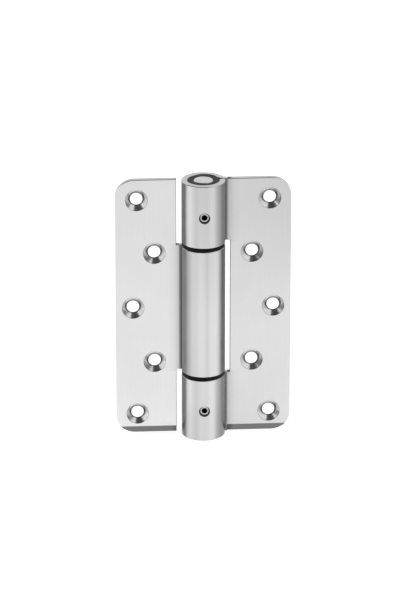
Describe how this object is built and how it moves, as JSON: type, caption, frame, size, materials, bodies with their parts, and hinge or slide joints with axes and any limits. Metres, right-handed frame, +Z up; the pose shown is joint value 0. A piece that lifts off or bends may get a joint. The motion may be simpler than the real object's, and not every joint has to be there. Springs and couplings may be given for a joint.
{
  "type": "door hinge",
  "caption": "Heavy door hinge of rolled stainless sheet: two round-cornered leaves with countersunk screw holes turn about a polymer-bushed pin, laid flat open.",
  "frame": {"origin": "on the pin axis at mid height, the centre of the open hinge", "axes": "+Z up along the pin, +X to the right leaf, -Y to the side that the screw heads and the barrel face"},
  "size_m": [0.09, 0.0224, 0.14],
  "materials": {
    "leaf_steel": "satin brushed",
    "pin_steel": "turned",
    "screw_steel": "plain machined",
    "black_polymer": "turned matte"
  },
  "bodies": {
    "right_side": {"right_leaf": "leaf_steel", "hinge_pin": "pin_steel", "upper_sleeve": "black_polymer", "lower_sleeve": "black_polymer", "upper_grub_screw": "screw_steel", "lower_grub_screw": "screw_steel"},
    "left_side": {"left_leaf": "leaf_steel", "upper_flange_bush": "black_polymer", "lower_flange_bush": "black_polymer"}
  },
  "joints": [
    {"name": "leaf_swing", "type": "hinge", "parent": "right_side", "child": "left_side", "pos_m": [0, 0, 0], "axis": [0, 0, 1], "range_deg": [-145, 180]}
  ]
}
